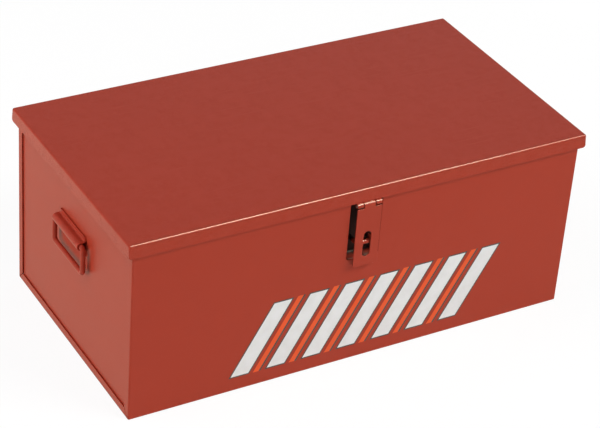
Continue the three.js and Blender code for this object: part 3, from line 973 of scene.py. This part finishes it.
dressed = [
    (lid, "lid", "lid_enamel", "lid_pan", lidEnamel),
    (body, "chest", "body_enamel", "body_wrap", bodyEnamel),
    (leftPanel, "chest", "body_enamel", "left_end_pan", bodyEnamel),
    (rightPanel, "chest", "body_enamel", "right_end_pan", bodyEnamel),
    (recess, "chest", "body_enamel", "lock_recess", recessEnamel),
    (staple, "chest", "body_enamel", "lock_staple", stapleEnamel),
    (bodyLeaf, "chest", "body_enamel", "hinge_body_leaf", bodyEnamel),
    (hingePin, "chest", "bright_steel", "hinge_pin", pinSteel),
    (leftBracket, "chest", "handle_enamel", "left_handle_bracket", handleEnamel),
    (rightBracket, "chest", "handle_enamel", "right_handle_bracket", handleEnamel),
    (leftBail, "left_bail", "handle_enamel", "left_handle_bail", handleEnamel),
    (rightBail, "right_bail", "handle_enamel", "right_handle_bail", handleEnamel),
    (lidLeaf, "lid", "lid_enamel", "hinge_lid_leaf", lidEnamel),
    (haspLeaf, "lid", "lid_enamel", "hasp_leaf", lidEnamel),
    (haspPin, "lid", "bright_steel", "hasp_pin", pinSteel),
    (strap, "hasp", "hasp_enamel", "hasp_strap", haspEnamel),
    (beads, "chest", "body_enamel", None, bodyEnamel),
    (band, "chest", "body_enamel", None, None),
]
for piece, bodyName, slotName, node, material in dressed:
    if material:
        piece.data.materials.clear()
        piece.data.materials.append(material)
    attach(piece, bodyName)
    if node:
        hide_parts(node)
channel = frame["nodes"]["lid_channel"]   # its shape is right as it is
channel.data.materials.clear()
channel.data.materials.append(lidEnamel)
print("pieces finished and riding")


# Studio

studio = {
    "ambient": 0.13,
    "floorSize": 16,
    "floorDrop": 0.0001,           # just clear of the chest's underside
    "floorColour": (0.62, 0.62, 0.62, 1),
    "floorRough": 0.9,
    "floorGlow": 1.12,             # only what the camera and reflections see
    "glowNear": 0.81,              # its share near the chest, where the floor keeps a shadow
    "mirroredNear": 0.62,          # the same in reflections, where the floor is a warmer white
    "mirroredColour": (1, 0.98, 0.76, 1),
    "glowFrom": 1.1, "glowTo": 2.6,
    "skyLow": 0.9, "skyHigh": 0.45,   # the room in reflections, at the horizon and overhead
    "skyFrom": 0.05, "skyTo": 0.5,    # how steeply a ray climbs where the one gives way to the other
    "cameraPlace": (-1.4607, -2.3916, 1.9424),
    "cameraTurn": (57.167, -3.784, -29.159),   # degrees
    "cameraLens": 129.9,
    "cameraSensor": 36,
    "aim": (0, 0, 0.15),           # where the lamps point
    "lamps": {
        # place, width, height, strength: how brightly it lights a white card at the chest
        "key": ((2.86, -3.51, 4.83), 3.2, 1.0, 0.50),
        "front": ((-0.30, -5.90, 0.90), 2.4, 1.2, 0.28),
        "leftEnd": ((-4.19, 1.49, 0.69), 3.0, 1.8, 0.60),
        "overhead": ((-1.90, 0.40, 3.00), 1.8, 1.8, 0.27),
        "back": ((3.50, 2.70, 0.70), 2.0, 1.0, 0.30),
        "gleam": ((2.60, -1.85, 5.60), 1.0, 2.4, 3.6),   # only for the shine on bends and rods
    },
    "mirroredLamps": ("key", "gleam"),   # the others would glare on the lid and its edges
    "gleamColour": (1, 0.93, 0.68),
}


def seenOrReflected(tree):
    ray = addNode(tree, "LightPath").outputs
    mirrored = mathNode(tree, "MAXIMUM", ray["Is Glossy Ray"], ray["Is Transmission Ray"])
    return ray["Is Camera Ray"], mirrored


def makeWorld():  # white to the camera, a bright room in reflections, and a dim soft light to everything else
    world = bpy.data.worlds.new("studio")
    bpy.context.scene.world = world
    world.use_nodes = True
    tree = world.node_tree
    soft = tree.nodes["Background"]
    soft.inputs["Color"].default_value = (1, 1, 1, 1)
    soft.inputs["Strength"].default_value = studio["ambient"]
    seen, mirrored = seenOrReflected(tree)
    split = addNode(tree, "SeparateXYZ")
    tree.links.new(addNode(tree, "TexCoord").outputs["Generated"], split.inputs[0])
    room = rangeNode(tree, split.outputs["Z"], studio["skyFrom"], studio["skyTo"],
                     studio["skyLow"], studio["skyHigh"])
    white = addNode(tree, "Background", Color=(1, 1, 1, 1))
    join(tree, (mathNode(tree, "MAXIMUM", seen, room), white.inputs["Strength"]))
    mix = addNode(tree, "MixShader")
    join(tree, (mathNode(tree, "MAXIMUM", seen, mirrored), mix.inputs[0]),
         (soft.outputs[0], mix.inputs[1]), (white.outputs[0], mix.inputs[2]),
         (mix.outputs[0], tree.nodes["World Output"].inputs["Surface"]))


def makeFloor():
    look = studio
    deselectAll()
    bpy.ops.mesh.primitive_plane_add(size=look["floorSize"], location=(0, 0, -look["floorDrop"]))
    floor = nameNew("floor")
    material, tree, shader, place = newMaterial("paleFloor")
    shader.inputs["Base Color"].default_value = look["floorColour"]
    shader.inputs["Roughness"].default_value = look["floorRough"]
    shader.inputs["Specular IOR Level"].default_value = 0
    distance = addNode(tree, "VectorMath", operation="LENGTH")
    tree.links.new(place, distance.inputs[0])
    away = rangeNode(tree, distance.outputs["Value"], look["glowFrom"], look["glowTo"], 0, 1)
    seenGlow = rangeNode(tree, away, 0, 1, look["glowNear"], 1)
    mirroredGlow = rangeNode(tree, away, 0, 1, look["mirroredNear"], 1)
    seen, mirrored = seenOrReflected(tree)
    share = mathNode(tree, "ADD", mathNode(tree, "MULTIPLY", seenGlow, seen),
                     mathNode(tree, "MULTIPLY", mirroredGlow, mirrored))
    glow = addNode(tree, "Emission", Strength=look["floorGlow"])
    mix = addNode(tree, "MixShader")
    join(tree, (share, mix.inputs[0]),
         (blendNode(tree, mirrored, (1, 1, 1, 1), look["mirroredColour"]), glow.inputs["Color"]),
         (shader.outputs[0], mix.inputs[1]), (glow.outputs[0], mix.inputs[2]),
         (mix.outputs[0], tree.nodes["Material Output"].inputs["Surface"]))
    floor.data.materials.append(material)


def addLamps():
    for name, (place, width, height, strength) in studio["lamps"].items():
        deselectAll()
        bpy.ops.object.light_add(type="AREA", location=place)
        lamp = bpy.context.object
        lamp.name = name
        aim = Vector(studio["aim"]) - Vector(place)
        lamp.visible_glossy = name in studio["mirroredLamps"]
        lamp.visible_diffuse = name != "gleam"
        if name == "gleam":
            lamp.data.color = studio["gleamColour"]
        lamp.data.shape = "RECTANGLE"
        lamp.data.size, lamp.data.size_y = width, height
        lamp.data.energy = strength * pi ** 2 * aim.length_squared
        lamp.rotation_mode = "QUATERNION"
        lamp.rotation_quaternion = aim.to_track_quat("-Z", "Y")


def addCamera():
    deselectAll()
    turn = [radians(angle) for angle in studio["cameraTurn"]]
    bpy.ops.object.camera_add(location=studio["cameraPlace"], rotation=turn)
    camera = bpy.context.object
    camera.data.lens = studio["cameraLens"]
    camera.data.sensor_width = studio["cameraSensor"]
    bpy.context.scene.camera = camera


makeWorld()
makeFloor()
addLamps()
addCamera()
bpy.context.scene.view_settings.view_transform = "Standard"
print("studio set")
